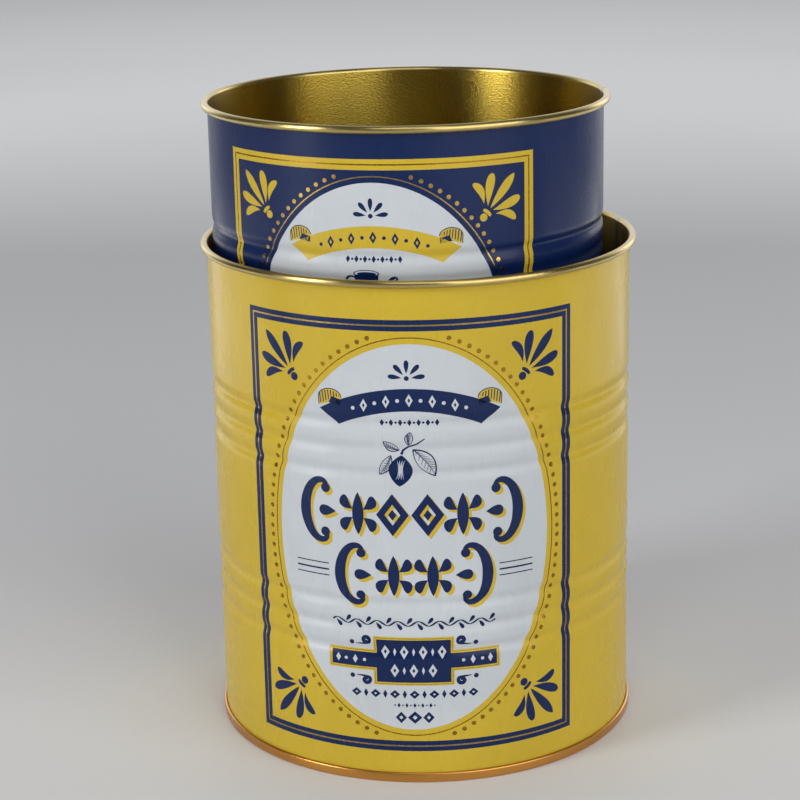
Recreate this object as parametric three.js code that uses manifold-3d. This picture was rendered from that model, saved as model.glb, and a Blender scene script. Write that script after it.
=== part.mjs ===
// Nesting pair of open, round, lithographed tins. The small tin stands inside the large one on a
// loose card riser, so that its upper part shows above the large tin's rim.
// Millimetres, +Z up. The origin is the centre of the large tin's base, and the print faces -Y.
//
// Each tin is built as a three-piece can is built: a body sheet rolled round and lapped, beaded,
// curled outward at the top and hooked at the bottom, and a pressed bottom end whose rim is folded
// round that hook in a double seam, with a ring of sealing compound inside the fold.

import * as THREE from "three";
import { mergeVertices } from "three/addons/utils/BufferGeometryUtils.js";
import Module from "manifold-3d";

const wasm = await Module();
wasm.setup();

// Driving dimensions shared by both tins
const SHEET = 0.25; // tinplate thickness
const GAP = 0.04; // clearance between sheets that are pressed together
const LAYER = SHEET + GAP; // pitch of the sheets in the double seam
const FACETS = 36; // flats round each circle
const CURL_RADIUS = 1.1; // outside radius of the rolled rim
const CURL_START = 180; // degrees; the curl leaves the wall here
const CURL_END = -135; // degrees; its cut edge is tucked in here
const CURL_STEPS = 7;
const SEAM_HEIGHT = 3; // outside height of the double seam
const BODY_HOOK_TOP = 2.2;
const END_HOOK_TIP = 0.8;
const COUNTERSINK_TOP = 4; // middle of the sheet at the highest ring of the bottom end
const COUNTERSINK_WIDTH = 1.4;
const PANEL_LEVEL = 3.4; // middle of the sheet on the flat of the bottom end
const PANEL_SLOPE = 0.5; // width of a step between two levels
const RING_OUTER_SHARE = 0.7; // the raised ring in the bottom end, as shares of the tin's radius
const RING_INNER_SHARE = 0.62;
const GROOVES = 3; // grooves in each group of beads
const SHOULDER_SHARE = 0.55; // of the pitch, from the first groove to the plain wall
const LAP_WIDTH = 2.2; // overlap of the sheet's two edges at the side seam
const LAP_BITE = 0.1; // how far the lap's solid reaches into the wall, where it is welded

// What differs between the tins. Heights are above the tin's own base, and upperGroove and
// lowerGroove are the top grooves of the two groups.
const LARGE_TIN = {
  radius: 63.2,
  height: 150,
  upperGroove: 108.6,
  lowerGroove: 55.2,
  pitch: 7.2,
  grooveDepth: 0.6,
  seamAngle: 105,
};
const SMALL_TIN = {
  radius: 58.35,
  height: 140,
  upperGroove: 103.6,
  lowerGroove: 51,
  pitch: 6.8,
  grooveDepth: 0.56,
  seamAngle: 95,
};

// Where the small tin stands in the large one
const SMALL_OFFSET_X = -3;
const SMALL_BASE = 51.6;
const REST_GAP = 0.05; // between two pieces where one stands on the other

// The card riser: a plain collar
const RISER_OUTER = 60.5;
const RISER_INNER = 54;

const LITHO_YELLOW = 0xd0aa3c;
const LITHO_NAVY = 0x1f2c5c;
const GOLD_LACQUER = 0xb08a3a;
const COMPOUND_GREY = 0x8a8a86;
const CARD_BROWN = 0xb08a5c;

const midRadius = (tin) => tin.radius - SHEET / 2; // middle of the wall's sheet
const point = (r, z) => new THREE.Vector2(r, z);

// Points of an arc about (r, z), from one angle to another in degrees.
function arc(r, z, radius, from, to, steps) {
  return Array.from({ length: steps + 1 }, (_, i) => {
    const angle = THREE.MathUtils.degToRad(from + ((to - from) * i) / steps);
    return point(r + radius * Math.cos(angle), z + radius * Math.sin(angle));
  });
}

// One group of grooves, from its top shoulder to its bottom one.
function beads(tin, topGroove) {
  const wall = midRadius(tin);
  const valley = wall - tin.grooveDepth;
  const path = [point(wall, topGroove + SHOULDER_SHARE * tin.pitch)];
  for (let i = 0; i < GROOVES; i++) {
    const z = topGroove - i * tin.pitch;
    const last = i === GROOVES - 1;
    path.push(point(valley, z), point(wall, z - (last ? SHOULDER_SHARE : 0.5) * tin.pitch));
  }
  return path;
}

// The middle line of the body's wall, from below the curl to a given height above the base.
function wallLine(tin, bottom) {
  const wall = midRadius(tin);
  return [
    point(wall, tin.height - CURL_RADIUS),
    ...beads(tin, tin.upperGroove),
    ...beads(tin, tin.lowerGroove),
    point(wall, bottom),
  ];
}

// The middle line of the whole body sheet: curl, beaded wall and body hook.
function bodyLine(tin) {
  const wall = midRadius(tin);
  const curl = CURL_RADIUS - SHEET / 2;
  const curlPoints = arc(wall + curl, tin.height - CURL_RADIUS, curl, CURL_END, CURL_START, CURL_STEPS);
  const hookBottom = LAYER + SHEET / 2;
  return [
    ...curlPoints.slice(0, -1),
    ...wallLine(tin, hookBottom),
    point(wall + 2 * LAYER, hookBottom),
    point(wall + 2 * LAYER, BODY_HOOK_TOP),
  ];
}

// The middle line of the bottom end, from the axis out to the tip of its hook.
function endLine(tin) {
  const wall = midRadius(tin);
  const chuckWall = wall - LAYER;
  const panelEdge = chuckWall - COUNTERSINK_WIDTH;
  const ringOuter = tin.radius * RING_OUTER_SHARE;
  const ringInner = tin.radius * RING_INNER_SHARE;
  return [
    point(0, PANEL_LEVEL),
    point(ringInner - PANEL_SLOPE, PANEL_LEVEL),
    point(ringInner, COUNTERSINK_TOP),
    point(ringOuter, COUNTERSINK_TOP),
    point(ringOuter + PANEL_SLOPE, PANEL_LEVEL),
    point(panelEdge - PANEL_SLOPE, PANEL_LEVEL),
    point(panelEdge, COUNTERSINK_TOP),
    point(chuckWall, COUNTERSINK_TOP),
    point(chuckWall, SHEET / 2),
    point(wall + 3 * LAYER, SHEET / 2),
    point(wall + 3 * LAYER, SEAM_HEIGHT - SHEET / 2),
    point(wall + LAYER, SEAM_HEIGHT - SHEET / 2),
    point(wall + LAYER, END_HOOK_TIP),
  ];
}

// One side of a line, at a distance to its left.
function offsetLine(line, distance) {
  return line.map((here, i) => {
    const before = i > 0 ? here.clone().sub(line[i - 1]).normalize() : null;
    const after = i < line.length - 1 ? line[i + 1].clone().sub(here).normalize() : null;
    const a = before ?? after;
    const b = after ?? before;
    const normal = point(-a.y - b.y, a.x + b.x).normalize();
    const miter = distance / normal.dot(point(-a.y, a.x));
    return here.clone().addScaledVector(normal, miter);
  });
}

// The outline of a sheet of even thickness whose middle follows a line.
function sheetOutline(line, thickness = SHEET) {
  return [...offsetLine(line, thickness / 2), ...offsetLine(line, -thickness / 2).reverse()];
}

function isClockwise(outline) {
  return THREE.ShapeUtils.isClockWise(outline);
}

// An outline turned about Z. One that touches the axis stays open there, and any other is closed.
function turned(outline) {
  const onAxis = outline[0].x === 0;
  const profile = onAxis ? [...outline] : [...outline, outline[0].clone()];
  if (isClockwise(outline)) profile.reverse();
  return new THREE.LatheGeometry(profile, FACETS).rotateX(Math.PI / 2);
}

// An outline turned about Z through a small angle, with flat ends. Angle 0 is -Y, 90 is +X.
function turnedSector(outline, fromDegrees, toDegrees) {
  const ring = isClockwise(outline) ? [...outline].reverse() : outline;
  const corners = [fromDegrees, toDegrees].flatMap((degrees) => {
    const angle = THREE.MathUtils.degToRad(degrees);
    return ring.flatMap((p) => [p.x * Math.sin(angle), -p.x * Math.cos(angle), p.y]);
  });
  const n = ring.length;
  const faces = ring.flatMap((_, i) => {
    const j = (i + 1) % n;
    return [i, i + n, j, j, i + n, j + n];
  });
  for (const [a, b, c] of THREE.ShapeUtils.triangulateShape(ring, [])) {
    faces.push(a, b, c, a + n, c + n, b + n);
  }
  return new THREE.BufferGeometry()
    .setAttribute("position", new THREE.Float32BufferAttribute(corners, 3))
    .setIndex(faces);
}

function toSolid(geometry) {
  const bare = geometry.clone();
  bare.deleteAttribute("normal");
  bare.deleteAttribute("uv");
  const merged = mergeVertices(bare, 1e-4);
  return new wasm.Manifold(
    new wasm.Mesh({
      numProp: 3,
      vertProperties: merged.attributes.position.array,
      triVerts: new Uint32Array(merged.index.array),
    }),
  );
}

function toGeometry(solid) {
  const mesh = solid.getMesh();
  return new THREE.BufferGeometry()
    .setAttribute("position", new THREE.BufferAttribute(mesh.vertProperties, 3))
    .setIndex(new THREE.BufferAttribute(mesh.triVerts, 1));
}

// The body sheet, with the step on its inside where one edge of the sheet laps over the other.
function bodyGeometry(tin) {
  const flatInset = tin.radius * (1 - Math.cos(Math.PI / FACETS)); // a flat's middle, inside its circle
  const lapThickness = SHEET + LAP_BITE;
  const shift = SHEET / 2 + flatInset - LAP_BITE + lapThickness / 2;
  const line = wallLine(tin, COUNTERSINK_TOP + SHEET + GAP);
  const lapLine = line.map((p) => point(p.x - shift, p.y));
  const halfLap = THREE.MathUtils.radToDeg(LAP_WIDTH / 2 / tin.radius);
  const lap = turnedSector(
    sheetOutline(lapLine, lapThickness),
    tin.seamAngle - halfLap,
    tin.seamAngle + halfLap,
  );
  return toGeometry(toSolid(turned(sheetOutline(bodyLine(tin)))).add(toSolid(lap)));
}

// Sealing compound in the top of the fold, above the body hook and inside the end's seaming wall.
function compoundGeometry(tin) {
  const wall = midRadius(tin);
  const inner = wall + LAYER + SHEET / 2 + GAP;
  const outer = wall + 3 * LAYER - SHEET / 2 - GAP;
  const bottom = BODY_HOOK_TOP + GAP;
  const top = SEAM_HEIGHT - SHEET - GAP;
  return turned([point(inner, bottom), point(outer, bottom), point(outer, top), point(inner, top)]);
}

function riserGeometry() {
  const bottom = PANEL_LEVEL + SHEET / 2 + REST_GAP;
  const top = SMALL_BASE - REST_GAP;
  return turned([
    point(RISER_INNER, bottom),
    point(RISER_OUTER, bottom),
    point(RISER_OUTER, top),
    point(RISER_INNER, top),
  ]);
}

function piece(name, geometry, color, roughness, metalness) {
  const material = new THREE.MeshStandardMaterial({ color, roughness, metalness });
  const mesh = new THREE.Mesh(geometry, material);
  mesh.name = name;
  return mesh;
}

// One tin: body sheet, bottom end and sealing compound.
function tinGroup(prefix, tin, bodyColor) {
  const group = new THREE.Group();
  group.add(
    piece(`${prefix}_body_sheet`, bodyGeometry(tin), bodyColor, 0.3, 0.3),
    piece(`${prefix}_bottom_end`, turned(sheetOutline(endLine(tin))), GOLD_LACQUER, 0.3, 0.9),
    piece(`${prefix}_seam_compound`, compoundGeometry(tin), COMPOUND_GREY, 0.8, 0),
  );
  return group;
}

const nest = new THREE.Group();
const smallTin = tinGroup("small", SMALL_TIN, LITHO_NAVY);
smallTin.position.set(SMALL_OFFSET_X, 0, SMALL_BASE);
nest.add(tinGroup("large", LARGE_TIN, LITHO_YELLOW));
nest.add(piece("card_riser", riserGeometry(), CARD_BROWN, 0.9, 0));
nest.add(smallTin);

export default nest;
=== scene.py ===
"""Looks of a nesting pair of lithographed tins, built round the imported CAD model.

Each tin's sheet metal is a fine surface of revolution. Its print is real geometry too: every ink is
a piece of its own, cut from flat artwork and wrapped round the beaded wall, a few hundredths of a
millimetre proud of it. Metres, in the CAD's frame; the artwork alone is drawn in millimetres.
"""

import math
from math import cos, pi, radians, sin

import bmesh
import bpy
import numpy as np
from mathutils import Matrix, Vector
from mathutils.geometry import delaunay_2d_cdt


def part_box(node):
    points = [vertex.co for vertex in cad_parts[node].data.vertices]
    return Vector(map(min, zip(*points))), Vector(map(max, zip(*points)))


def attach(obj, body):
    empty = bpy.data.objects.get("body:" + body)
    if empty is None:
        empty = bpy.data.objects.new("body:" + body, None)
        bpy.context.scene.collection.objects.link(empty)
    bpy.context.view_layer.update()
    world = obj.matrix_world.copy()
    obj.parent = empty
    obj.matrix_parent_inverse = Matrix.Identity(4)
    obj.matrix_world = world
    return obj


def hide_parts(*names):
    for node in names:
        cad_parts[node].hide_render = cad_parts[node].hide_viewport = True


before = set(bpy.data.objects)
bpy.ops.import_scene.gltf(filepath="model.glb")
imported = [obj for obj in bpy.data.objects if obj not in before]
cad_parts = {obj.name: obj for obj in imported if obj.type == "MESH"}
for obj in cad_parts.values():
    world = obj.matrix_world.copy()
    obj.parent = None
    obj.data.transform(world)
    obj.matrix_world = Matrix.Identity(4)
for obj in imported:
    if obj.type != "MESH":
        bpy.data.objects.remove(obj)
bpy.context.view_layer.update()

MM = 0.001

# Sheet metal, as in the CAD model
SHEET = 0.25 * MM
LAYER = 0.29 * MM  # pitch of the sheets in the double seam
CURL_RADIUS = 1.1 * MM
CURL_END = -135  # degrees; the curl's cut edge
SEAM_HEIGHT = 3 * MM
BODY_HOOK_TOP = 2.2 * MM
END_HOOK_TIP = 0.8 * MM
COUNTERSINK_TOP = 4 * MM
COUNTERSINK_WIDTH = 1.4 * MM
PANEL_LEVEL = 3.4 * MM
FOLD_RADIUS = 0.45 * MM  # outer folds of the double seam
HOOK_RADIUS = 0.16 * MM  # the body hook's folds inside them
GROOVES = 3
GROOVE_SHARPNESS = 1.8  # 1 is a plain wave; more makes the valleys narrower than the peaks
GROOVE_ROWS = 14  # rows of faces in one pitch
LAP_WIDTH = 2.2 * MM
LAP_STEP = 0.22 * MM  # how far the lapped sheet stands off the inside of the wall
LAP_GROOVE = 0.06 * MM  # the fine groove along each edge of the lap
LAP_FOOT = 4.8 * MM  # where the lap begins, just above the bottom end
BARE_MARGIN = 2.2 * MM  # unprinted sheet on each side of the lap
CARD_WALL = 6.5 * MM
CARD_EDGE = 0.5 * MM  # radius of the card collar's softened edges
COLUMNS = 144  # faces round a tin
COLUMN = 2 * pi / COLUMNS

LIT_MIDDLE = (0, 0, 0.1)  # where the softboxes point

# How far the layers of ink stand off the sheet, and where their undersides are sunk in it
INK_ROOT = -0.01 * MM
GROUND = 0.014 * MM
SHADOW = 0.024 * MM
DRAWING = 0.034 * MM
DETAIL = 0.044 * MM

# Artwork, in millimetres on the large tin, from the middle of its frame
FRAME_HALF_WIDTH = 50.6
FRAME_HALF_HEIGHT = 64.5
FRAME_BAND = 3.2
ART_CENTRE = 0.7  # everything in the oval is this far right of the frame's middle
OVAL_HALF_WIDTH = 41.0
OVAL_HALF_HEIGHT = 57.7
FRAME_MIDDLE = 74.2  # height of the frame's middle above the large tin's base
PALMETTE_X = 33.6  # the dot of each corner's palmette
PALMETTE_Y = 46.2
PALMETTE_TILT = 50
FAN_LEVEL = 47.9
RIBBON_CENTRE = -8.8  # of the arc that the ribbon follows
RIBBON_OUTER = 53.7
RIBBON_INNER = 47.2
ROLL_LEVEL = 41.5
SMALL_ROW_LEVEL = 35.0
UPPER_BAND_LEVEL = 7.9
LOWER_BAND_LEVEL = -10.4
RULES_LEVEL = -10.0
VINE_LEVEL = -25.0
PLAQUE_LEVEL = -36.5
LOW_ROWS = (-46.7, -50.1, -53.9)
PRINT_SHADOW = 0.85  # how far the bold ornaments' shadow falls down and to the right
CORNERS = [(-1, -1), (-1, 1), (1, -1), (1, 1)]


# ---- camera


def add_object(name, data):
    item = bpy.data.objects.new(name, data)
    bpy.context.collection.objects.link(item)
    return item


def add_camera():
    place = Vector((0.01106, -0.64948, 0.28682))
    pitch, yaw, roll = radians(16.241), radians(-1.543), radians(-1.214)
    ahead = Vector((sin(yaw) * cos(pitch), cos(yaw) * cos(pitch), -sin(pitch)))
    level_right = Vector((cos(yaw), -sin(yaw), 0))
    level_up = level_right.cross(ahead)
    right = level_right * cos(roll) + level_up * sin(roll)
    up = level_up * cos(roll) - level_right * sin(roll)
    data = bpy.data.cameras.new("camera")
    data.lens = 99.28
    data.sensor_width = 36
    data.clip_start = 0.01
    camera = add_object("camera", data)
    camera.matrix_world = Matrix.Translation(place) @ Matrix((right, up, -ahead)).transposed().to_4x4()
    bpy.context.scene.camera = camera


# ---- shader helpers


def srgb(red, green, blue):
    """A linear colour from 0-255 display values."""
    shares = [c / 255 for c in (red, green, blue)]
    return [s / 12.92 if s <= 0.04045 else ((s + 0.055) / 1.055) ** 2.4 for s in shares] + [1]


class Shader:
    """A material under construction: its principled shader, the place that its textures go by and
    short ways to add nodes."""

    def __init__(self, name, **sockets):
        self.material = bpy.data.materials.new(name)
        self.material.use_nodes = True
        self.tree = self.material.node_tree
        self.main = self.tree.nodes["Principled BSDF"]
        for socket, value in sockets.items():
            self.main.inputs[socket.replace("_", " ")].default_value = value
        self.place = self.node("ShaderNodeTexCoord").outputs["Object"]

    def node(self, kind, **settings):
        node = self.tree.nodes.new(kind)
        for key, value in settings.items():
            setattr(node, key, value)
        return node

    def link(self, source, target):
        self.tree.links.new(source, target)

    def unroll(self, axis_x, radius):
        """Lays the textures on a wall round an axis: along its arc and up, in metres."""
        apart = self.node("ShaderNodeSeparateXYZ")
        self.link(self.place, apart.inputs[0])
        shifted = self.math("SUBTRACT", apart.outputs["X"], axis_x)
        angle = self.math("ARCTAN2", shifted, apart.outputs["Y"])
        arc = self.math("MULTIPLY", angle, radius)
        joined = self.node("ShaderNodeCombineXYZ")
        self.link(arc, joined.inputs["X"])
        self.link(apart.outputs["Z"], joined.inputs["Y"])
        self.place = joined.outputs[0]

    def math(self, operation, first, second):
        node = self.node("ShaderNodeMath", operation=operation)
        for socket, value in zip(node.inputs, (first, second)):
            if isinstance(value, (int, float)):
                socket.default_value = value
            else:
                self.link(value, socket)
        return node.outputs[0]

    def noise(self, scale, stretch=(1, 1, 1), detail=3.0, roughness=0.55):
        mapping = self.node("ShaderNodeMapping")
        mapping.inputs["Scale"].default_value = stretch
        self.link(self.place, mapping.inputs["Vector"])
        noise = self.node("ShaderNodeTexNoise")
        noise.inputs["Scale"].default_value = scale
        noise.inputs["Detail"].default_value = detail
        noise.inputs["Roughness"].default_value = roughness
        self.link(mapping.outputs[0], noise.inputs["Vector"])
        return noise.outputs["Fac"]

    def spread(self, value, low, high, start=0.3, end=0.7):
        """A value between start and end, turned into one between low and high."""
        node = self.node("ShaderNodeMapRange", interpolation_type="SMOOTHSTEP")
        for socket, number in zip(("From Min", "From Max", "To Min", "To Max"), (start, end, low, high)):
            node.inputs[socket].default_value = number
        self.link(value, node.inputs["Value"])
        return node.outputs["Result"]

    def blend(self, value, first, second, most=1, start=0.3, end=0.7):
        """The first colour, with up to a share of the second where a value is high."""
        share = self.spread(value, 0, most, start, end)
        node = self.node("ShaderNodeMix", data_type="RGBA")
        self.link(share, node.inputs["Factor"])
        for socket, color in ((node.inputs[6], first), (node.inputs[7], second)):
            if isinstance(color, list):
                socket.default_value = color
            else:
                self.link(color, socket)
        return node.outputs[2]

    def color(self, value):
        self.link(value, self.main.inputs["Base Color"])

    def roughness(self, value):
        self.link(value, self.main.inputs["Roughness"])

    def bumps(self, *heights):
        """Bumps laid on one another, each a height from 0 to 1 and its depth in metres."""
        normal = None
        for height, depth in heights:
            bump = self.node("ShaderNodeBump")
            bump.inputs["Strength"].default_value = 1
            bump.inputs["Distance"].default_value = depth
            self.link(height, bump.inputs["Height"])
            if normal is not None:
                self.link(normal, bump.inputs["Normal"])
            normal = bump.outputs[0]
        self.link(normal, self.main.inputs["Normal"])


def shade(color, factor):
    """A colour made darker or lighter."""
    return [min(1, c * factor) for c in color[:3]] + [1]


def ink_material(name, color):
    """Offset-printed ink under varnish: cloudy at arm's length, finely mottled close to."""
    shader = Shader(name, Specular_IOR_Level=0.25)
    clouds = shader.noise(28, detail=2)
    mottle = shader.noise(2600, detail=2)
    speck = shader.noise(900, detail=4, roughness=0.7)
    tone = shader.blend(clouds, shade(color, 0.965), shade(color, 1.03))
    worn = shader.blend(mottle, tone, shade(color, 1.25), 0.1)
    shader.color(shader.blend(speck, worn, shade(color, 0.8), 0.12, 0.66, 0.78))
    smears = shader.noise(110, stretch=(1, 1, 0.4), detail=3)
    shader.roughness(shader.spread(smears, 0.22, 0.32))
    shader.bumps(
        (mottle, 0.0012 * MM),
        (shader.noise(260), 0.003 * MM),
        (shader.noise(40, detail=1), 0.12 * MM),
    )
    return shader.material


def lacquer_material(name, color, tin=None, relief=1.0):
    """Bright tinplate under clear gold lacquer. The grain of the rolled sheet runs round a tin's
    wall, and straight across a stamped end."""
    shader = Shader(name, Metallic=1.0, Coat_Weight=0.2, Coat_Roughness=0.3)
    if tin is not None:
        shader.unroll(tin.axis[0], tin.wall)
        shader.main.inputs["Anisotropic"].default_value = 0.75
        shader.main.inputs["Anisotropic Rotation"].default_value = 0.25
        tangent = shader.node("ShaderNodeTangent", axis="Z")
        shader.link(tangent.outputs[0], shader.main.inputs["Tangent"])
    grain = shader.noise(2000, stretch=(0.5, 1, 1), detail=2, roughness=0.6)
    fine = shader.noise(5000, stretch=(0.3, 1, 1), detail=2)
    clouds = shader.noise(30, stretch=(1, 0.35, 1), detail=2)
    tone = shader.blend(clouds, shade(color, 0.94), shade(color, 1.03))
    shader.color(shader.blend(grain, tone, shade(color, 0.7), 0.4 * relief))
    shader.roughness(shader.spread(clouds, 0.26, 0.32))
    shader.bumps((clouds, 0.03 * MM), (grain, 0.1 * MM * relief), (fine, 0.004 * MM * relief))
    return shader.material


def metal_ink_material(name, color):
    """Bright metal seen through transparent gold ink, for the fine lines and dots."""
    shader = Shader(name, Metallic=1.0)
    mottle = shader.noise(1800, detail=3)
    shader.color(shader.blend(mottle, shade(color, 0.85), shade(color, 1.1)))
    shader.roughness(shader.spread(mottle, 0.18, 0.32))
    shader.bumps((mottle, 0.002 * MM))
    return shader.material


def tinplate_material():
    """The unprinted margin along the side seam: dull varnished tin with rolling marks."""
    shader = Shader("bare_tinplate", Metallic=1.0, Coat_Weight=0.3, Coat_Roughness=0.2)
    grain = shader.noise(1800, stretch=(1, 1, 0.04), detail=3)
    stain = shader.noise(90, detail=4)
    tin = srgb(196, 190, 176)
    shader.color(shader.blend(stain, shade(tin, 0.7), tin))
    shader.roughness(shader.spread(grain, 0.28, 0.45))
    shader.bumps((grain, 0.003 * MM))
    return shader.material


def compound_material():
    shader = Shader("compound", Roughness=0.75)
    pores = shader.noise(3000, detail=3)
    grey = srgb(150, 150, 146)
    shader.color(shader.blend(pores, shade(grey, 0.75), grey))
    shader.bumps((pores, 0.02 * MM))
    return shader.material


def card_material(axis_x, radius):
    """Wound grey-brown card: long fibres round the wall, flecks and a little fading."""
    shader = Shader("card", Specular_IOR_Level=0.25)
    shader.unroll(axis_x, radius)
    fibre = shader.noise(900, stretch=(0.12, 1, 1), detail=4, roughness=0.7)
    fleck = shader.noise(420, detail=5, roughness=0.75)
    clouds = shader.noise(40)
    card = srgb(178, 146, 104)
    tone = shader.blend(clouds, shade(card, 0.86), shade(card, 1.08))
    fibres = shader.blend(fibre, tone, shade(card, 0.62), 0.4)
    shader.color(shader.blend(fleck, fibres, srgb(96, 74, 52), 0.7, 0.64, 0.72))
    shader.roughness(shader.spread(fleck, 0.78, 0.95))
    shader.bumps((fibre, 0.06 * MM), (fleck, 0.04 * MM))
    return shader.material


def floor_material():
    shader = Shader("floor", Roughness=0.6)
    clouds = shader.noise(3)
    pale = srgb(226, 226, 228)
    shader.color(shader.blend(clouds, shade(pale, 0.985), pale))
    return shader.material


# ---- sheet metal


class Tin:
    """Where one tin stands and how large it is, from the CAD, and how its wall runs."""

    def __init__(self, prefix, upper_groove, lower_groove, pitch, depth, seam, panel, art_scale):
        low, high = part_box(prefix + "_body_sheet")
        end_low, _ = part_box(prefix + "_bottom_end")
        self.prefix = prefix
        self.body = prefix + "_tin"
        self.axis = ((low.x + high.x) / 2, (low.y + high.y) / 2)
        self.base, self.top = end_low.z, high.z
        self.wall = (high.x - low.x) / 2 - 2 * CURL_RADIUS + SHEET  # outside radius
        self.middle = self.wall - SHEET / 2
        self.grooves = [self.base + g * MM for g in (upper_groove, lower_groove)]
        self.pitch, self.depth = pitch * MM, depth * MM
        self.seam = radians(seam)
        self.panel = radians(panel)  # azimuth of the printed front's middle
        self.art_scale = art_scale  # size of the artwork against the large tin's
        self.rows = self.outer_rows()

    def pressed_in(self, z):
        for top in self.grooves:
            turns = (top - z) / self.pitch
            if -0.5 < turns < GROOVES - 0.5:
                return self.depth * (0.5 + 0.5 * cos(2 * pi * turns)) ** GROOVE_SHARPNESS
        return 0.0

    def wall_line(self):
        """The middle of the wall's sheet, from the curl down to the double seam."""
        heights, count = [self.top - CURL_RADIUS], GROOVES * GROOVE_ROWS
        for top in self.grooves:
            heights += [top + self.pitch * (0.5 - i / GROOVE_ROWS) for i in range(count + 1)]
        points = [(self.middle - self.pressed_in(z), z) for z in heights]
        feet = (LAP_FOOT + LAP_STEP, LAP_FOOT - LAP_STEP, SEAM_HEIGHT + SHEET)
        return points + [(self.middle, self.base + foot) for foot in feet]

    def outer_rows(self):
        """Radius, height and slope of the outside of the wall at each row, from the bottom up."""
        line = self.wall_line()[::-1]
        outside = offset(line, -SHEET / 2)
        radii, heights = np.array(outside).T
        steps = np.diff(radii) / np.diff(heights)
        slopes = np.concatenate([[0], (steps[1:] + steps[:-1]) / 2, [0]])
        return radii, heights, slopes


def offset(line, distance):
    """The points of a line moved to its left by a distance, with mitred corners."""
    moved = []
    for i, (x, y) in enumerate(line):
        here = Vector((x, y))
        before = (here - Vector(line[i - 1])).normalized() if i else None
        after = (Vector(line[i + 1]) - here).normalized() if i < len(line) - 1 else None
        a, b = before or after, after or before
        normal = Vector((-a.y - b.y, a.x + b.x)).normalized()
        moved.append(tuple(here + normal * (distance / normal.dot(Vector((-a.y, a.x))))))
    return moved


def arc(x, y, radius, start, end, steps):
    """Points of an arc, from one angle to another in degrees."""
    angles = [radians(start + (end - start) * i / steps) for i in range(steps + 1)]
    return [(x + radius * cos(a), y + radius * sin(a)) for a in angles]


def filleted(corners, steps=6):
    """A line whose corners, given as (x, y, radius), are rounded."""
    points = [corners[0][:2]]
    for (px, py, _), (x, y, radius), (nx, ny, _) in zip(corners, corners[1:], corners[2:]):
        corner = Vector((x, y))
        back = (Vector((px, py)) - corner).normalized()
        on = (Vector((nx, ny)) - corner).normalized()
        half = back.angle(on) / 2
        if radius == 0 or half > radians(89.5):
            points.append((x, y))
            continue
        centre = corner + (back + on).normalized() * (radius / sin(half))
        first = corner + back * (radius / math.tan(half)) - centre
        last = corner + on * (radius / math.tan(half)) - centre
        for i in range(steps + 1):
            points.append(tuple(centre + radius * first.slerp(last, i / steps).normalized()))
    points.append(corners[-1][:2])
    return points


def body_sides(tin):
    """The two sides of the body sheet's section, both from the curl's cut edge to the hook's tip.
    The first is the tin's inside, and round the curl its outside too."""
    curl = CURL_RADIUS - SHEET / 2
    curl_line = arc(tin.middle + curl, tin.top - CURL_RADIUS, curl, CURL_END, 180, 40)
    hook_bottom = tin.base + LAYER + SHEET / 2
    hook = filleted([
        (tin.middle, tin.base + SEAM_HEIGHT, 0),
        (tin.middle, hook_bottom, HOOK_RADIUS),
        (tin.middle + 2 * LAYER, hook_bottom, HOOK_RADIUS),
        (tin.middle + 2 * LAYER, tin.base + BODY_HOOK_TOP, 0),
    ])
    line = curl_line[:-1] + tin.wall_line() + hook
    return offset(line, -SHEET / 2), offset(line, SHEET / 2)


def end_outline(tin):
    """The closed section of the bottom end, from the axis to the tip of its hook and back."""
    chuck_wall = tin.middle - LAYER
    panel_edge = chuck_wall - COUNTERSINK_WIDTH
    ring_outer, ring_inner, slope = 0.7 * tin.wall, 0.62 * tin.wall, 0.7 * MM
    panel, raised = tin.base + PANEL_LEVEL, tin.base + COUNTERSINK_TOP
    floor, seam_top = tin.base + SHEET / 2, tin.base + SEAM_HEIGHT - SHEET / 2
    line = filleted([
        (0, panel, 0),
        (ring_inner - slope, panel, 0.6 * MM),
        (ring_inner, raised, 0.6 * MM),
        (ring_outer, raised, 0.6 * MM),
        (ring_outer + slope, panel, 0.6 * MM),
        (panel_edge - slope, panel, 0.5 * MM),
        (panel_edge, raised, 0.5 * MM),
        (chuck_wall, raised, 0.3 * MM),
        (chuck_wall, floor, FOLD_RADIUS),
        (tin.middle + 3 * LAYER, floor, FOLD_RADIUS),
        (tin.middle + 3 * LAYER, seam_top, 0.4 * MM),
        (tin.middle + LAYER, seam_top, HOOK_RADIUS),
        (tin.middle + LAYER, tin.base + END_HOOK_TIP, 0),
    ])
    return offset(line, SHEET / 2) + offset(line, -SHEET / 2)[::-1]


def compound_outline(tin):
    inner = tin.middle + LAYER + 0.165 * MM
    outer = tin.middle + 3 * LAYER - 0.165 * MM
    bottom = tin.base + BODY_HOOK_TOP + 0.04 * MM
    top = tin.base + SEAM_HEIGHT - SHEET - 0.12 * MM
    return ring_outline(inner, outer, bottom, top, 0.06 * MM)


def ring_outline(inner, outer, bottom, top, radius):
    """A rounded rectangle, as the section of a ring."""
    middle = (inner + outer) / 2
    corners = [(outer, bottom), (outer, top), (inner, top), (inner, bottom)]
    ends = [(middle, bottom, 0)]
    return filleted(ends + [(x, y, radius) for x, y in corners] + ends)[:-1]


def azimuths(extra=()):
    """Azimuths of the columns of faces: evenly spaced ones, and extra ones in their place."""
    turns = [i * COLUMN for i in range(COLUMNS)]
    clear = [a for a in turns if all(abs(a - e) > 0.2 * COLUMN for e in extra)]
    return sorted([*clear, *extra])


def around(axis, radius, azimuth, z):
    """Points at a radius and azimuth round an axis. Azimuth 0 is the front, -Y, and 90 is +X."""
    x, y = axis
    return np.stack([x + radius * np.sin(azimuth), y - radius * np.cos(azimuth), z], -1)


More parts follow.
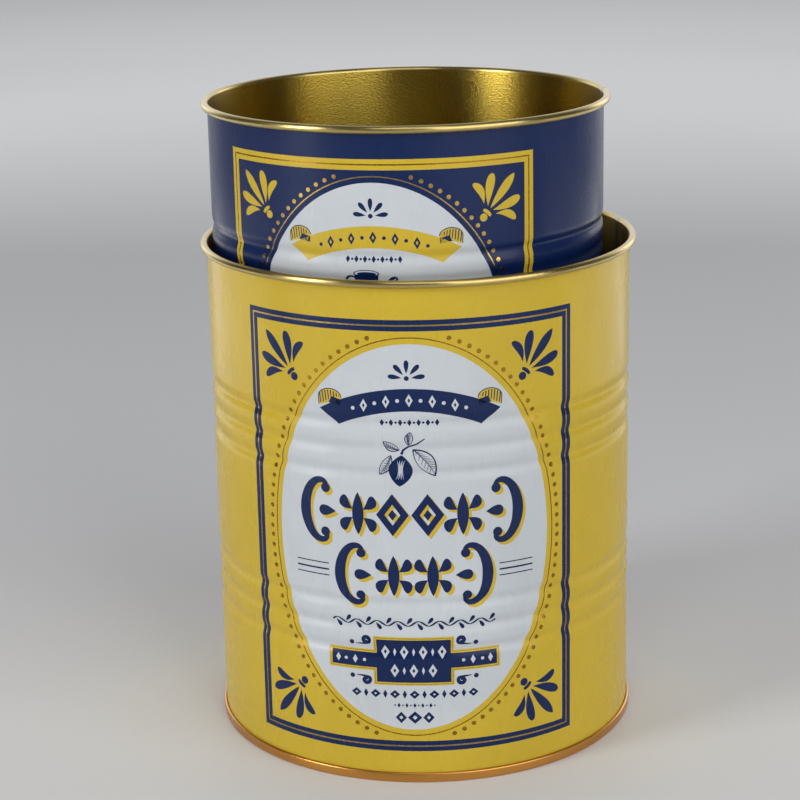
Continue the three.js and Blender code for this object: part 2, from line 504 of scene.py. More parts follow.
def new_piece(name, vertices, faces, body, slot, materials, face_materials=None):
    mesh = bpy.data.meshes.new(name)
    mesh.from_pydata([tuple(v) for v in vertices], [], faces)
    for material in materials:
        mesh.materials.append(material)
    if face_materials is not None:
        mesh.polygons.foreach_set("material_index", face_materials)
    mesh.polygons.foreach_set("use_smooth", [True] * len(mesh.polygons))
    piece = add_object(name, mesh)
    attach(piece, body)
    return piece


def revolve(axis, name, outline, body, slot, materials, turns, kinds=None, lifts=None):
    """A closed outline turned about an axis. kinds gives each outline point's material, and
    lifts(azimuth) how far each point moves along its own direction there."""
    radii, heights = np.array(outline).T
    on_axis = np.nonzero(radii < 1e-9)[0]
    rings = []
    for azimuth in turns:
        shift = lifts(azimuth) if lifts is not None else np.zeros((len(outline), 2))
        rings.append(around(axis, radii + shift[:, 0], azimuth, heights + shift[:, 1]))
    count = len(outline)
    vertices = np.concatenate(rings)
    own = np.arange(len(vertices)).reshape(len(turns), count)
    own[:, on_axis] = own[0, on_axis]
    faces, marks = [], []
    for i in range(len(turns)):
        j = (i + 1) % len(turns)
        for k in range(count):
            m = (k + 1) % count
            if k in on_axis and m in on_axis:
                continue
            corners = [own[i, k], own[j, k], own[j, m], own[i, m]]
            faces.append([int(c) for c in dict.fromkeys(corners)])
            marks.append(kinds(turns[i], k) if kinds else 0)
    piece = new_piece(name, vertices, faces, body, slot, materials, marks)
    tidy_mesh(piece.data)
    return piece


def tidy_mesh(mesh):
    """Drops loose vertices, points all faces outward and keeps real edges sharp."""
    work = bmesh.new()
    work.from_mesh(mesh)
    bmesh.ops.delete(work, geom=[v for v in work.verts if not v.link_faces], context="VERTS")
    bmesh.ops.recalc_face_normals(work, faces=work.faces)
    work.to_mesh(mesh)
    work.free()
    mesh.set_sharp_from_angle(angle=radians(35))


def outward_normals(outline):
    """The direction out of the metal at each point of a closed section."""
    x, y = outline.T
    along = np.roll(outline, -1, 0) - np.roll(outline, 1, 0)
    turning = np.sign(np.sum(x * np.roll(y, -1) - y * np.roll(x, -1)))
    outward = np.stack([along[:, 1], -along[:, 0]], 1) * turning
    return outward / np.linalg.norm(outward, axis=1, keepdims=True)


def build_body(tin, materials, slot):
    """The body sheet, with the edge of its lapped side seam and the unprinted margin outside it."""
    inner, outer = body_sides(tin)
    outline = np.array(inner + outer[::-1])
    outward = outward_normals(outline)
    radii, heights = outline.T
    on_inside = np.arange(len(outline)) < len(inner)
    on_curl = on_inside & (heights > tin.top - CURL_RADIUS)
    on_wall = on_inside & ~on_curl & (heights > tin.base + LAP_FOOT) & (radii < tin.wall)
    climb = np.clip((tin.wall + 0.2 * CURL_RADIUS - radii) / (0.6 * CURL_RADIUS), 0, 1)
    step = outward * (LAP_STEP * (on_wall + on_curl * climb))[:, None]
    groove = outward * (-LAP_GROOVE * (on_wall | on_curl))[:, None]
    half, margin = LAP_WIDTH / 2 / tin.wall, (LAP_WIDTH / 2 + BARE_MARGIN) / tin.wall
    crisp = LAP_GROOVE / tin.wall

    def lifts(azimuth):
        inward = half - abs(azimuth - tin.seam)
        return step if inward > crisp / 2 else groove if inward > -crisp / 2 else 0 * step

    def kinds(azimuth, k):
        beyond = abs(azimuth - tin.seam + 1e-6)
        if k >= len(inner) - 1:
            return 2 if beyond < margin else 0
        if beyond < half and (on_wall | on_curl)[k]:
            return 2
        # Material 3, on the curl and just inside the top, is the same lacquer made lighter: a painted
        # highlight
        return 3 if heights[k + 1] > tin.top - 2 * CURL_RADIUS else 1

    edges = [tin.seam + side * (half + shift * crisp) for side in (-1, 1) for shift in (-1, 0, 1)]
    turns = azimuths([tin.seam - margin, *edges, tin.seam + margin])
    name = tin.prefix + "_tin_sheet"
    piece = revolve(tin.axis, name, outline, tin.body, slot, materials, turns, kinds, lifts)
    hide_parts(tin.prefix + "_body_sheet")


# ---- flat artwork


def ellipse(x, y, half_width, half_height, steps=32, tilt=0.0):
    turn = Matrix.Rotation(radians(tilt), 2)
    points = []
    for i in range(steps):
        angle = 2 * pi * i / steps
        flat = Vector((half_width * cos(angle), half_height * sin(angle)))
        points.append(tuple(turn @ flat + Vector((x, y))))
    return points


def dot(x, y, radius, steps=14):
    return ellipse(x, y, radius, radius, steps)


def rectangle(left, bottom, right, top):
    return [(left, bottom), (right, bottom), (right, top), (left, top)]


def lozenge(x, y, width, height):
    return [(x - width / 2, y), (x, y - height / 2), (x + width / 2, y), (x, y + height / 2)]


def blade(base, tip, bend, spots):
    """A blade from its base to its tip, its axis bent to the left. Each spot is a share of the way
    along it and half its width there."""
    base, tip = Vector(base), Vector(tip)
    along = tip - base
    side = Vector((-along.y, along.x)).normalized()
    left, right = [], []
    for t, half in spots:
        middle = base + along * t + side * (bend * along.length * 4 * t * (1 - t))
        left.append(tuple(middle + side * half))
        right.append(tuple(middle - side * half))
    return [tuple(base), *right, tuple(tip), *left[::-1]]


def petal(base, tip, width, bend=0.0):
    """A petal that widens from a point at its base to a round tip."""
    reaches = [1 - (1 - i / 14) ** 2 for i in range(1, 14)]
    return blade(base, tip, bend, [(t, 1.35 * width * t ** 1.1 * (1 - t) ** 0.5) for t in reaches])


def leaf(base, tip, width, bend=0.0, skew=0.0):
    """A leaf, pointed at both ends. With some skew it is widest nearer its tip."""
    bulges = [(i / 16, sin(pi * i / 16)) for i in range(1, 16)]
    return blade(base, tip, bend, [(t + skew * b, width / 2 * b ** 0.8) for t, b in bulges])


def stroke(points, widths):
    """The outline of a line drawn with a pen of changing width."""
    lefts, rights = [], []
    for i, here in enumerate(points):
        before = Vector(points[max(i - 1, 0)])
        after = Vector(points[min(i + 1, len(points) - 1)])
        along = (after - before).normalized()
        side = Vector((-along.y, along.x)) * (widths[i] / 2)
        lefts.append(tuple(Vector(here) + side))
        rights.append(tuple(Vector(here) - side))
    return lefts + rights[::-1]


def bracket_scroll(x, y, height, thickness, side):
    """A bold bracket whose two ends curl inward, drawn open to the right if side is 1."""
    steps = 64
    places, here = [], Vector((0, 0))
    for i in range(steps + 1):
        s = 2 * i / steps - 1
        heading = radians(90 + 62 * s + 175 * s ** 5)
        places.append(here.copy())
        here = here + Vector((cos(heading), sin(heading)))
    low, high = min(p.y for p in places), max(p.y for p in places)
    left, middle = min(-p.x for p in places), (low + high) / 2
    scale = height / (high - low)
    points = [(x + side * (-p.x - left) * scale, y + (p.y - middle) * scale) for p in places]
    widths = [thickness * (1 - 0.72 * abs(2 * i / steps - 1) ** 1.5) for i in range(steps + 1)]
    knobs = [dot(*points[i], 0.42 * thickness, 16) for i in (0, steps)]
    return [stroke(points, widths), *knobs]


def comma_scroll(x, y, side, up):
    """A small curled comma with a dot beside it."""
    turns = [radians(-40 + 300 * i / 24) for i in range(25)]
    radii = [1.2 * (1 - 0.5 * i / 24) for i in range(25)]
    curl = [(r * cos(a), r * sin(a)) for r, a in zip(radii, turns)]
    tail = [(-2.9 + 3.78 * (i / 8), -1.25 + 0.46 * (i / 8) ** 2) for i in range(8)]
    points = [(x + side * px, y + up * py) for px, py in tail + curl]
    widths = [0.2 + 1.0 * sin(pi * min(1, i / 36)) for i in range(len(points))]
    knob = dot(*points[-1], 0.78)
    return [stroke(points, widths), knob], dot(x - side * 4.2, y - up * 0.95, 0.72, 18)


class Artwork:
    """Flat shapes sorted by ink. A shape is a set of outlines joined together, less its holes."""

    def __init__(self):
        self.shapes = {}

    def add(self, ink, layer, solids, holes=()):
        self.shapes.setdefault(ink, []).append((layer, list(solids), list(holes)))

    def draw(self, *solids, holes=()):
        """A shape in navy, over the white oval."""
        self.add("navy", DRAWING, solids, holes)


def frame_shapes(art, ink, line_ink):
    """The rectangular frame: a band with a fine metal line down its middle."""
    line_inset = FRAME_BAND / 2 - 0.22
    for color, layer, inset, width in ((ink, GROUND, 0, FRAME_BAND), (line_ink, SHADOW, line_inset, 0.44)):
        halves = [(FRAME_HALF_WIDTH - i, FRAME_HALF_HEIGHT - i) for i in (inset, inset + width)]
        outer, inner = [rectangle(-right, -top, right, top) for right, top in halves]
        art.add(color, layer, [outer], [inner])


def palmette_shapes(art, ink):
    """Five petals, a bar and a dot in each corner, on the diagonal to it."""
    tilt = radians(PALMETTE_TILT)
    for side, up in CORNERS:
        def place(along, across):
            x = PALMETTE_X + along * cos(tilt) - across * sin(tilt)
            y = PALMETTE_Y + along * sin(tilt) + across * cos(tilt)
            return side * x, up * y
        parts = [leaf(place(3.3, 0), place(15.9, 0), 2.8, skew=0.13)]
        for hand in (-1, 1):
            bend = hand * side * up
            parts.append(petal(place(3.4, 1.05 * hand), place(11.7, 6.0 * hand), 2.8, 0.03 * bend))
            parts.append(petal(place(3.1, 2.5 * hand), place(5.9, 9.0 * hand), 2.35, -0.13 * bend))
        bar = [place(1.95 - 0.12 * t * t, t) for t in (-1.5, -0.75, 0, 0.75, 1.5)]
        for part in parts + [stroke(bar, [0.8, 1.05, 1.1, 1.05, 0.8]), dot(*place(0, 0), 1.2, 24)]:
            art.add(ink, GROUND, [part])


def oval_shapes(art, line_ink):
    """The white oval, the fine line round it and the row of dots outside that."""
    art.add("white", GROUND, [ellipse(ART_CENTRE, 0, OVAL_HALF_WIDTH, OVAL_HALF_HEIGHT, 128)])
    line = [ellipse(ART_CENTRE, 0, OVAL_HALF_WIDTH + g, OVAL_HALF_HEIGHT + g, 128) for g in (1.95, 1.6)]
    art.add(line_ink, GROUND, [line[0]], [line[1]])
    half_width, half_height = OVAL_HALF_WIDTH + 3.7, OVAL_HALF_HEIGHT + 3.5
    for side, up in CORNERS:
        angle = radians(90) - math.asin(11.4 / half_width)
        while angle > radians(-1 if up > 0 else 1):
            x, y = half_width * cos(angle), half_height * sin(angle)
            art.add(line_ink, GROUND, [dot(ART_CENTRE + side * x, up * y, 0.68, 16)])
            speed = math.hypot(half_width * sin(angle), half_height * cos(angle))
            angle -= 3.12 / speed


def fan_shapes(art, x, y):
    art.draw(dot(x, y, 0.7, 18))
    for angle in np.radians((7, 48, 90, 132, 173)):
        turn = Vector((cos(angle), sin(angle)))
        art.draw(petal(Vector((x, y)) + turn * 1.35, Vector((x, y)) + turn * 5.2, 1.35))


def ribbon_shapes(art, fill, mark):
    """An arched ribbon with a rolled end at each side and a row of lozenges where words would be."""
    x, y = ART_CENTRE, RIBBON_CENTRE
    upper_edge = arc(x, y, RIBBON_OUTER, 90 - 29, 90 + 29, 32)
    lower_edge = arc(x, y, RIBBON_INNER, 90 + 25.7, 90 - 25.7, 32)
    art.add(fill, DRAWING, [upper_edge + lower_edge])
    row = 50.35
    for i in range(-5, 6):
        turn = radians(90 - i * 3.7)
        middle = (x + row * cos(turn), y + row * sin(turn))
        if i % 2:
            art.add(mark, DETAIL, [dot(*middle, 0.55, 14)])
        else:
            art.add(mark, DETAIL, [lozenge(*middle, 2.1, 3.7)], [lozenge(*middle, 0.75, 1.4)])
    for side in (-1, 1):
        roll_shapes(art, x + side * 22.9, ROLL_LEVEL, side)


def roll_shapes(art, x, y, side):
    """The rolled end of the ribbon: a hatched face with the dark inside of the roll below it."""
    def place(across, up):
        return x + side * across, y + up
    turns = [radians(7.5 * i) for i in range(25)]
    top = [place(3.4 * cos(a), 0.1 + 2.3 * sin(a)) for a in turns]
    face = [place(3.35, -2.4), *top, place(-3.45, -0.5), place(-0.6, 0.2), place(0.4, -1.5)]
    art.add("yellow", DRAWING, [face])
    fold = [place(-3.45, -0.45), place(-0.5, 0.35), place(0.35, -1.5), place(-3.3, -2.1)]
    art.draw(fold)
    edge = [place(3.4, -2.3)] + [place(3.5 * cos(a), 0.1 + 2.4 * sin(a)) for a in turns]
    art.add("navy", DETAIL, [stroke(edge, [0.26] * len(edge))])
    for i in range(8):
        foot = place(2.75 - 0.82 * i, max(-1.75, -1.9 + 0.42 * i - (0 if i < 4 else 0.05 * i)))
        head = place(3.15 - 0.86 * i, 0.35 + 1.75 * sin(radians(22 + 21 * i)) ** 0.8)
        art.add("navy", DETAIL, [stroke([foot, head], [0.3, 0.34])])


def small_row_shapes(art, y, half, height, step):
    """A row of tiny lozenges and dots, where the smallest words would be."""
    count = int(half / step)
    for i in range(-count, count + 1):
        x = ART_CENTRE + i * step
        if i % 2:
            art.draw(dot(x, y, 0.17 * height, 12))
        else:
            art.draw(lozenge(x, y, 0.62 * height, height))


def pod_shapes(art):
    """A ribbed pod hanging from a twig among its leaves."""
    art.draw(leaf((-1.7, 25.6), (-2.4, 16.4), 6.9))
    for shift, width in ((-1.9, 0.3), (-0.7, 0.42), (0.6, 0.42), (1.8, 0.3)):
        rib = leaf((-1.8 + 0.62 * shift, 24.2), (-2.25 + 0.62 * shift, 18.3), width, -0.06 * shift)
        art.add("white", DETAIL, [rib])
    twig = [(-1.7, 25.8), (-1.3, 26.9), (0.2, 28.0), (2.6, 28.8), (4.9, 30.4)]
    art.draw(stroke(twig, [0.8, 0.6, 0.5, 0.45, 0.3]))
    for base, tip, width, bend in (
        ((0.3, 28.4), (0.9, 32.4), 2.5, 0.04),
        ((-2.2, 26.9), (-6.9, 29.6), 2.6, 0.08),
        ((-4.6, 25.6), (-8.2, 19.6), 3.1, 0.05),
        ((1.4, 27.2), (7.9, 19.2), 4.9, 0.07),
    ):
        outline_leaf(art, base, tip, width, bend)


def outline_leaf(art, base, tip, width, bend):
    """A leaf drawn as a line drawing, with its midrib, veins and a shaded half."""
    base, tip = Vector(base), Vector(tip)
    along = tip - base
    inner = leaf(base + along * 0.06, tip - along * 0.06, width - 0.56, bend)
    art.draw(leaf(base, tip, width, bend), holes=[inner])
    side = Vector((-along.y, along.x)).normalized()
    rib = []
    for i in range(15):
        t = 0.08 + 0.06 * i
        rib.append(tuple(base + along * t + side * (bend * along.length * 4 * t * (1 - t))))
    art.draw(stroke(rib, [0.34 - 0.012 * i for i in range(15)]))
    for i in range(1, 12):
        reach = sin(pi * (0.08 + 0.06 * i)) * 0.5 * (width - 0.7)
        for hand in (-1, 1) if i % 2 else (1,):
            foot = Vector(rib[i]) + side * (hand * 0.2) + along.normalized() * 0.05
            head = Vector(rib[i]) + side * (hand * 0.82 * reach) + along.normalized() * (0.55 * reach)
            art.draw(stroke([tuple(foot), tuple(head)], [0.2, 0.1]))


def cup_shapes(art):
    """A cup on a saucer with two beans beside it."""
    x, y = -1.6, 27.2
    turns = [radians(180 + 7.5 * i) for i in range(25)]
    bowl = [(x + 3.6 * cos(a), y + 3.2 + 6.2 * sin(a)) for a in turns]
    art.draw(bowl, holes=[leaf((x - 2.4, y + 1.8), (x - 0.7, y - 1.9), 0.6, -0.1)])
    art.draw(ellipse(x, y + 3.55, 3.9, 1.15, 36), holes=[ellipse(x, y + 3.6, 3.5, 0.85, 36)])
    art.add("navy", DETAIL, [ellipse(x + 0.1, y + 3.5, 2.9, 0.55, 30)])
    handle, gap = ellipse(x - 4.6, y + 1.3, 1.9, 1.7, 28), ellipse(x - 4.5, y + 1.35, 1.25, 1.05, 28)
    art.draw(handle, holes=[gap])
    art.draw(ellipse(x, y - 3.9, 6.2, 0.95, 40), holes=[ellipse(x, y - 3.72, 5.5, 0.5, 40)])
    for bean_x, bean_y, tilt in ((6.3, 28.6, 35), (8.2, 25.2, -20)):
        bean = ellipse(bean_x, bean_y, 1.7, 1.15, 26, tilt)
        groove = ellipse(bean_x, bean_y, 1.3, 0.16, 20, tilt)
        art.draw(bean, holes=[groove])


def lily(x, y, size, _):
    """A bold spindle between two petals that curl away from it, above and below a band."""
    half = size / 2
    shapes = [([leaf((x, y - half), (x, y + half), 0.27 * size)], [])]
    for hand, up in CORNERS:
        foot = (x + hand * 0.115 * size, y + up * 0.1 * size)
        tip = (x + hand * 0.37 * size, y + up * 0.4 * size)
        shapes.append(([petal(foot, tip, 0.24 * size, -0.16 * hand * up)], []))
    return shapes


def gem(x, y, size, _):
    """A bold lozenge with an open middle, and a smaller one in it."""
    outer, inner = lozenge(x, y, 0.74 * size, size), lozenge(x, y, 0.36 * size, 0.5 * size)
    return [([outer], [inner]), ([lozenge(x, y, 0.19 * size, 0.26 * size)], [])]


def flourish(x, y, size, side):
    """A tall bracket with curled ends, open to the middle of the band, and a petal in it."""
    shapes = [(bracket_scroll(x + side * 0.42 * size, y, 1.42 * size, 0.27 * size, -side), [])]
    foot, tip = (x + side * 0.06 * size, y), (x - side * 0.36 * size, y)
    return shapes + [([petal(tip, foot, 0.25 * size)], [])]


def shadowed(outlines):
    """Outlines shifted down and to the right."""
    return [[(x + PRINT_SHADOW, y - PRINT_SHADOW) for x, y in outline] for outline in outlines]


def bold_band(art, x, y, size, places):
    """A band of bold ornaments, each with a printed shadow down to its right. places lists what
    stands how far from the middle, and is mirrored."""
    for ornament, distance in places:
        for side in (-1, 1):
            for solids, holes in ornament(x + side * distance, y, size, side):
                art.add("yellow", SHADOW, shadowed(solids), shadowed(holes))
                art.draw(*solids, holes=holes)


def rule_shapes(art):
    """Three fine rules on each side of the lower band."""
    for side in (-1, 1):
        left, right = sorted(ART_CENTRE + 0.3 + side * reach for reach in (25.0, 35.6))
        for rise, width in ((1.85, 0.32), (0, 0.5), (-1.8, 0.32)):
            y = RULES_LEVEL + rise
            art.draw(rectangle(left, y - width / 2, right, y + width / 2))


def vine_shapes(art):
    """A waving line with a leaf in every wave, where a written line would be."""
    y, half, wave = VINE_LEVEL, 24, 6.0
    count = 120
    xs = [-half + 2 * half * i / count for i in range(count + 1)]
    points = [(ART_CENTRE + x, y + 0.8 * sin(2 * pi * x / wave)) for x in xs]
    widths = [0.24 + 0.34 * abs(cos(2 * pi * x / wave)) for x in xs]
    art.draw(stroke(points, widths))
    for i in range(-8, 8):
        middle = ART_CENTRE + (i + 0.5) * wave / 2
        up = 1 if i % 2 else -1
        art.draw(petal((middle - 0.4, y - up * 0.2), (middle + 1.1, y + up * 1.9), 1.1))


def plaque_outline(grow):
    """A box with a narrower wing at each side, grown or shrunk evenly."""
    x, y = ART_CENTRE - 0.1, PLAQUE_LEVEL
    box_half, box_high, wing_half, wing_high = 11.7 + grow, 7.45 + grow, 25.3 + grow, 3.1 + grow
    quarter = [(wing_half, wing_high), (box_half, wing_high), (box_half, box_high)]
    outline = []
    for side, up, order in ((-1, -1, 1), (1, -1, -1), (1, 1, 1), (-1, 1, -1)):
        outline += [(x + side * across, y + up * rise) for across, rise in quarter[::order]]
    return outline


def plaque_shapes(art):
    """The dark plaque with lozenges for words, and a curled comma outside each of its corners."""
    x, y = ART_CENTRE - 0.1, PLAQUE_LEVEL
    art.add("yellow", SHADOW, [plaque_outline(0)])
    art.add("gold", DRAWING, [plaque_outline(-0.36)], [plaque_outline(-0.52)])
    art.draw(plaque_outline(-0.92))
    for side in (-1, 1):
        for i, reach in enumerate((14.4, 17.2, 20.0, 22.4)):
            middle = (x + side * reach, y)
            shape = lozenge(*middle, 1.5, 2.6) if i % 2 else dot(*middle, 0.5, 14)
            art.add("white", DETAIL, [shape])
    for rise, count in ((2.75, 3), (-2.85, 2)):
        for i in range(-count, count + 1):
            middle = (x + 2.75 * i, y + rise)
            if (i + count) % 2 == 0:
                art.add("white", DETAIL, [lozenge(*middle, 2.5, 4.1)], [lozenge(*middle, 0.9, 1.5)])
            else:
                art.add("white", DETAIL, [lozenge(*middle, 0.9, 2.4)])
    for side, up in CORNERS:
        comma, drop = comma_scroll(x - side * 13.9, y + up * 6.1, side, up)
        art.draw(*comma)
        art.draw(drop)


def bottom_shapes(art):
    """Three rows of lozenges below the plaque, where smaller words would be."""
    row, tiny_row, last_row = LOW_ROWS
    for i in range(-6, 7):
        x = ART_CENTRE + 2.85 * i
        if i % 2:
            art.draw(lozenge(x, row, 1.3, 2.6))
        else:
            art.draw(lozenge(x, row, 3.0, 2.6), holes=[lozenge(x, row, 0.9, 0.7)])
    small_row_shapes(art, tiny_row, 6.8, 1.5, 1.15)
    for shift, width, height in ((-4, 3.3, 3.6), (0, 4.2, 3.9), (4, 3.3, 3.6)):
        x = ART_CENTRE + shift
        hole = lozenge(x, last_row, 0.35 * width, 0.35 * height)
        art.draw(lozenge(x, last_row, width, height), holes=[hole])


def label_artwork(frame_ink, frame_line, oval_line, ribbon_ink, ribbon_mark, emblem):
    """The whole printed panel of one tin."""
    art = Artwork()
    frame_shapes(art, frame_ink, frame_line)
    palmette_shapes(art, frame_ink)
    oval_shapes(art, oval_line)
    fan_shapes(art, ART_CENTRE - 0.6, FAN_LEVEL)
    ribbon_shapes(art, ribbon_ink, ribbon_mark)
    small_row_shapes(art, SMALL_ROW_LEVEL, 7.9, 2.1, 1.3)
    emblem(art)
    upper_band = ((gem, 5.0), (lily, 15.0), (flourish, 26.2))
    bold_band(art, ART_CENTRE - 0.3, UPPER_BAND_LEVEL, 12.6, upper_band)
    bold_band(art, ART_CENTRE + 0.3, LOWER_BAND_LEVEL, 12.2, ((lily, 5.6), (flourish, 16.4)))
    rule_shapes(art)
    vine_shapes(art)
    plaque_shapes(art)
    bottom_shapes(art)
    return art


# ---- wrapping the artwork


def inside(points, outline):
    """Which points lie in a closed outline."""
    px, py = points.T
    ring = np.array(outline)
    result = np.zeros(len(points), bool)
    for (ax, ay), (bx, by) in zip(ring, np.roll(ring, -1, 0)):
        crosses = (ay > py) != (by > py)
        with np.errstate(divide="ignore", invalid="ignore"):
            result ^= crosses & (px < (bx - ax) * (py - ay) / (by - ay) + ax)
    return result


def cut_shape(solids, holes, columns, rows):
    """The triangles of a flat shape, cut along every column and row of the wall's own faces."""
    points, edges = [], []
    for outline in solids + holes:
        start, count = len(points), len(outline)
        points += [tuple(p) for p in outline]
        edges += [(start + i, start + (i + 1) % count) for i in range(count)]
    (left, bottom), (right, top) = np.min(points, 0) - 0.05, np.max(points, 0) + 0.05
    cuts = [[(c, bottom), (c, top)] for c in columns[(columns > left) & (columns < right)]]
    cuts += [[(left, r), (right, r)] for r in rows[(rows > bottom) & (rows < top)]]
    for cut in cuts:
        points += cut
        edges.append((len(points) - 2, len(points) - 1))
    flat, _, faces, *_ = delaunay_2d_cdt([Vector(p) for p in points], edges, [], 0, 1e-6)
    flat = np.array([tuple(p) for p in flat])
    faces = np.array(faces)
    centres = flat[faces].mean(1)
    kept = np.zeros(len(faces), bool)
    for outline in solids:
        kept |= inside(centres, outline)
    for outline in holes:
        kept &= ~inside(centres, outline)
    faces = faces[kept]
    used, faces = np.unique(faces, return_inverse=True)
    return flat[used], faces.reshape(-1, 3)


def shell(flat, faces, start):
    """Faces of a thin closed solid: the shape's face, its underside and the wall round its edge."""
    total = len(flat)
    a, b, c = flat[faces[:, 0]], flat[faces[:, 1]], flat[faces[:, 2]]
    area = (b[:, 0] - a[:, 0]) * (c[:, 1] - a[:, 1]) - (b[:, 1] - a[:, 1]) * (c[:, 0] - a[:, 0])
    faces = np.where((area < 0)[:, None], faces[:, ::-1], faces)
    directed = {(f[i], f[(i + 1) % 3]) for f in faces.tolist() for i in range(3)}
    rim = [(a, b) for a, b in directed if (b, a) not in directed]
    walls = [[b, a, a + total, b + total] for a, b in sorted(rim)]
    result = (faces + start).tolist() + (faces[:, ::-1] + start + total).tolist()
    return result + (np.array(walls) + start).tolist()


def wrap(tin, azimuth, flat, lift):
    """Flat points in millimetres, laid on the wall's own faces and lifted off them, with the
    wall's directions there."""
    u = flat[:, 0] * tin.art_scale * MM
    z = tin.base + (FRAME_MIDDLE + flat[:, 1]) * tin.art_scale * MM
    turns = (azimuth + u / tin.wall) / COLUMN
    first = np.floor(turns)
    share = (turns - first)[:, None]
    corners = [np.stack([np.sin(c * COLUMN), -np.cos(c * COLUMN)], 1) for c in (first, first + 1)]
    direction = (1 - share) * corners[0] + share * corners[1]
    radii, heights, slopes = tin.rows
    radius = np.interp(z, heights, radii)
    slope = np.interp(z, heights, slopes)
    smooth = np.stack([np.sin(turns * COLUMN), -np.cos(turns * COLUMN), -slope], 1)
    smooth /= np.linalg.norm(smooth, axis=1, keepdims=True)
    x, y = tin.axis
    place = np.column_stack([x + radius * direction[:, 0], y + radius * direction[:, 1], z])
    return place + smooth * lift, smooth


def build_ink(tin, ink, shapes, slot, material, panels):
    """All of one ink on a tin, as one piece of thin solids."""
    vertices, normals, faces = [], [], []
    count = 0
    radii, heights, _ = tin.rows
    rows = (heights - tin.base) / MM / tin.art_scale - FRAME_MIDDLE
    for azimuth in panels:
        spread = FRAME_HALF_WIDTH * tin.art_scale * MM / tin.wall + COLUMN
        first, last = math.floor((azimuth - spread) / COLUMN), math.ceil((azimuth + spread) / COLUMN)
        lines = np.arange(first, last + 1)
        columns = (lines * COLUMN - azimuth) * tin.wall / MM / tin.art_scale
        for layer, solids, holes in shapes:
            flat, triangles = cut_shape(solids, holes, columns, rows)
            top, directions = wrap(tin, azimuth, flat, layer)
            bottom, _ = wrap(tin, azimuth, flat, INK_ROOT)
            faces += shell(flat, triangles, count)
            vertices += [top, bottom]
            normals += [directions, directions]
            count += 2 * len(flat)
    name = f"{tin.prefix}_print_{ink}"
    piece = new_piece(name, np.concatenate(vertices), faces, tin.body, slot, [material])
    piece.data.normals_split_custom_set_from_vertices(np.concatenate(normals).tolist())
    return piece


# ---- the set


def build_end(tin, materials):
    """The bottom end, gold lacquered on the side that is inside the tin, coppery on the other."""
    outline = end_outline(tin)
    name, slot = tin.prefix + "_tin_bottom", "gold_lacquer"

    def kinds(_, k):
        return int(k >= len(outline) // 2)

    piece = revolve(tin.axis, name, outline, tin.body, slot, materials, azimuths(), kinds)
    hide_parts(tin.prefix + "_bottom_end")


def build_compound(tin):
    name = tin.prefix + "_compound_ring"
    outline = compound_outline(tin)
    piece = revolve(tin.axis, name, outline, tin.body, "seam_compound", [compound], azimuths())
    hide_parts(tin.prefix + "_seam_compound")


def build_tin(tin, body_materials, slot, end_materials, art, inks):
    build_body(tin, body_materials, slot)
    build_end(tin, end_materials)
    build_compound(tin)
    for ink, shapes in art.shapes.items():
        ink_slot, material = inks[ink]
        build_ink(tin, ink, shapes, ink_slot, material, (tin.panel, tin.panel + pi))


def build_riser():
    """The card collar: a wound wall with softly broken edges."""
    low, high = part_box("card_riser")
    x, y = (low.x + high.x) / 2, (low.y + high.y) / 2
    outer = (high.x - low.x) / 2
    outline = ring_outline(outer - CARD_WALL, outer, low.z, high.z, CARD_EDGE)
    card = card_material(x, outer)
    piece = revolve((x, y), "card_collar", outline, "riser", "card", [card], azimuths())
    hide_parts("card_riser")


def add_floor():
    mesh = bpy.data.meshes.new("floor")
    mesh.from_pydata([(x, y, 0) for x, y in rectangle(-6, -6, 6, 6)], [], [(0, 1, 2, 3)])
    mesh.materials.append(floor_material())
    floor = add_object("floor", mesh)
    return floor


def add_softbox(name, place, width, height, power, target=LIT_MIDDLE):
    data = bpy.data.lights.new(name, "AREA")
    data.shape = "RECTANGLE"
    data.size, data.size_y = width, height
    data.energy = power
    light = add_object(name, data)
    light.location = place
    light.visible_camera = False
    light.rotation_euler = (Vector(target) - Vector(place)).to_track_quat("-Z", "Y").to_euler()
    return light


def add_lights(floor):
    """A narrow softbox on the left, a wide one on the right, one above the camera, two weak ones
    behind, one for the floor's far end, and low cards at the sides that leave the floor alone."""
    add_softbox("left", (-1.1, -0.69, 0.5), 0.4, 0.9, 9.4)
    add_softbox("right", (0.85, -0.95, 0.58), 1.25, 1.1, 10.5)
    add_softbox("high", (0.05, -0.75, 1.15), 0.7, 0.5, 2.5)
    add_softbox("back_left", (-0.8, 1.1, 0.4), 0.5, 0.7, 0.8)
    add_softbox("back_right", (0.85, 1.05, 0.4), 0.5, 0.7, 1.4)
    add_softbox("backdrop", (0, 0.9, 1.3), 2.4, 0.8, 24, (0, 3, 0.9))
    unlit = bpy.data.collections.new("unlit_by_cards")
    unlit.objects.link(floor)
    unlit.collection_objects[0].light_linking.link_state = "EXCLUDE"
    for side in (-1, 1):
        card = add_softbox(f"low_{side}", (side * 0.36, 0.14, 0.04), 0.45, 0.08, 0.11)
        card.light_linking.receiver_collection = unlit


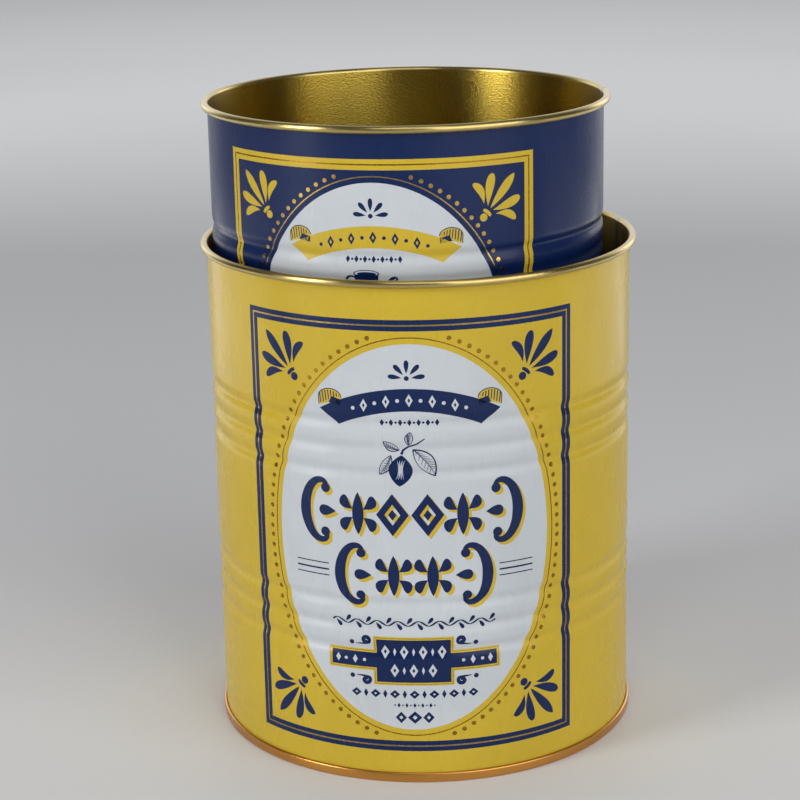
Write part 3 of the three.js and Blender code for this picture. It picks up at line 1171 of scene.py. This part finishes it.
def add_world():
    """Dark all round, but bright behind the tins."""
    world = bpy.data.worlds.new("studio")
    world.use_nodes = True
    tree = world.node_tree
    background = tree.nodes["Background"]
    background.inputs["Color"].default_value = (0.95, 0.97, 1.0, 1)
    direction = tree.nodes.new("ShaderNodeTexCoord").outputs["Generated"]
    apart = tree.nodes.new("ShaderNodeSeparateXYZ")
    rise = tree.nodes.new("ShaderNodeMapRange")
    for socket, value in zip(("From Min", "From Max", "To Min", "To Max"), (0.45, 0.9, 0.09, 1.0)):
        rise.inputs[socket].default_value = value
    tree.links.new(direction, apart.inputs[0])
    tree.links.new(apart.outputs["Y"], rise.inputs["Value"])
    tree.links.new(rise.outputs["Result"], background.inputs["Strength"])
    bpy.context.scene.world = world


add_camera()
bpy.context.scene.view_settings.view_transform = "Standard"

# Grooves, pitch and depth in millimetres above the tin's base, the side seam and panel in degrees
large = Tin("large", upper_groove=108.6, lower_groove=55.2, pitch=7.2, depth=0.6,
            seam=105, panel=-2.72, art_scale=1.0)
small = Tin("small", upper_groove=103.6, lower_groove=51, pitch=6.8, depth=0.56,
            seam=95, panel=-8.89, art_scale=0.943)

YELLOW = srgb(200, 171, 50)
NAVY = srgb(14, 34, 78)
WHITE = srgb(196, 201, 205)
LACQUER = srgb(182, 156, 64)
# The rim's colour is the inside lacquer made lighter, a painted highlight on the curl
RIM_LACQUER_PAINTED_HIGHLIGHT = srgb(196, 174, 108)
END_LACQUER = srgb(206, 148, 72)
GOLD_LINE = srgb(176, 146, 78)
BRONZE_LINE = srgb(160, 120, 44)

compound = compound_material()
ends = [
    lacquer_material("end_lacquer", LACQUER, relief=0.5),
    lacquer_material("end_outside_lacquer", END_LACQUER, relief=0.2),
]
bare = tinplate_material()
inks = {
    "navy": ("litho_navy", ink_material("navy_ink", NAVY)),
    "white": ("litho_white", ink_material("white_ink", WHITE)),
    "yellow": ("litho_yellow", ink_material("yellow_ink", YELLOW)),
    "gold": ("litho_gold", metal_ink_material("gold_line", GOLD_LINE)),
    "bronze": ("litho_gold", metal_ink_material("bronze_line", BRONZE_LINE)),
}

pod_label = label_artwork("navy", "gold", "bronze", "navy", "white", pod_shapes)
cup_label = label_artwork("yellow", "bronze", "gold", "yellow", "navy", cup_shapes)
for tin, ground, art in ((large, "yellow", pod_label), (small, "navy", cup_label)):
    slot, coat = inks[ground]
    inner = lacquer_material(tin.prefix + "_lacquer", LACQUER, tin)
    # The curl gets the same lacquer lightened into a painted highlight, with less grain
    rim = lacquer_material(tin.prefix + "_rim_lacquer_painted_highlight", RIM_LACQUER_PAINTED_HIGHLIGHT, tin, relief=0.15)
    build_tin(tin, [coat, inner, bare, rim], slot, ends, art, inks)

build_riser()
add_lights(add_floor())
add_world()
